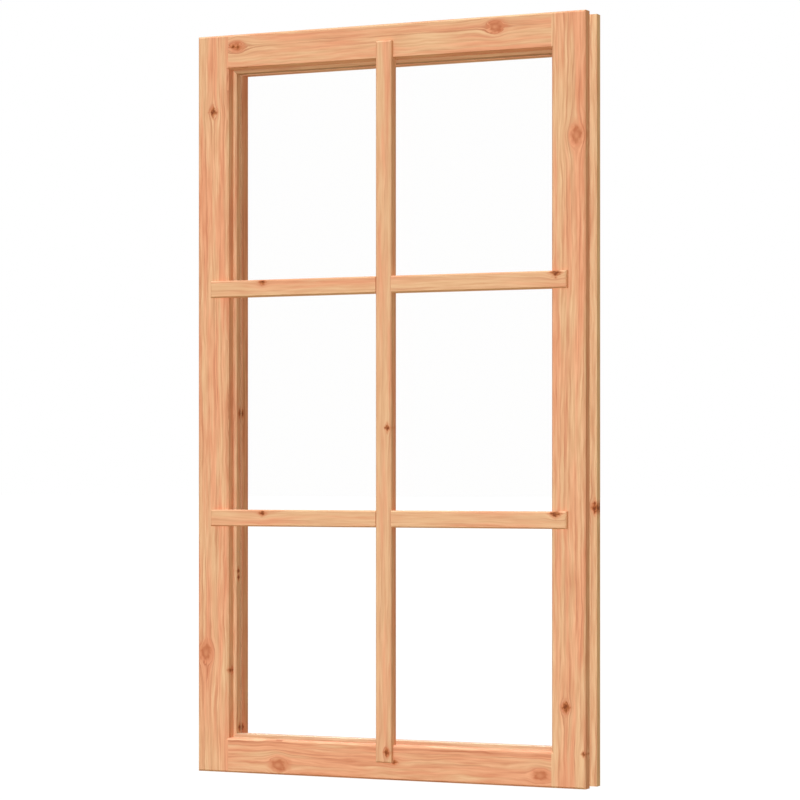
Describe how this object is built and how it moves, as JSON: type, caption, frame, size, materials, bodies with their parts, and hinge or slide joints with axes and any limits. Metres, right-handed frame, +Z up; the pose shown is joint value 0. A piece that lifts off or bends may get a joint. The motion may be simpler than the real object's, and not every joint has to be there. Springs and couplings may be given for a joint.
{
  "type": "fixed window",
  "caption": "Tall fixed timber window with a grooved frame for board walls, one glazed opening and planted glazing bars.",
  "frame": {"origin": "centre of the whole depth and width, at the foot of the casings", "axes": "+X across the window to the right seen from the front, +Y from the front with its bars to the rear, +Z up"},
  "size_m": [0.755, 0.083, 1.33],
  "materials": {
    "casing_wood": "planed, untreated reddish softwood",
    "lining_wood": "planed, untreated reddish softwood",
    "bead_wood": "planed, untreated reddish softwood",
    "bar_wood": "planed, untreated reddish softwood",
    "float_glass": "clear float glass, seamed edges",
    "glazing_tape": "tan foam tape",
    "setting_block_plastic": "plain black plastic",
    "pin_steel": "bright steel wire",
    "screw_steel": "zinc-plated steel",
    "dowel_beech": "plain beech rod"
  },
  "bodies": {
    "root": {"front_left_stile": "casing_wood", "front_right_stile": "casing_wood", "front_top_rail": "casing_wood", "front_bottom_rail": "casing_wood", "rear_left_stile": "casing_wood", "rear_right_stile": "casing_wood", "rear_top_rail": "casing_wood", "rear_bottom_rail": "casing_wood", "left_jamb": "lining_wood", "right_jamb": "lining_wood", "head": "lining_wood", "sill": "lining_wood", "left_bead": "bead_wood", "right_bead": "bead_wood", "top_bead": "bead_wood", "bottom_bead": "bead_wood", "upright_bar_1": "bar_wood", "cross_bar_1": "bar_wood", "cross_bar_2": "bar_wood", "glass_pane": "float_glass", "front_tape": "glazing_tape", "rear_tape": "glazing_tape", "setting_blocks": "setting_block_plastic", "bead_pins": "pin_steel", "corner_screws": "screw_steel", "bar_dowels": "dowel_beech", "front_dowels": "dowel_beech", "rear_dowels": "dowel_beech"}
  },
  "joints": []
}
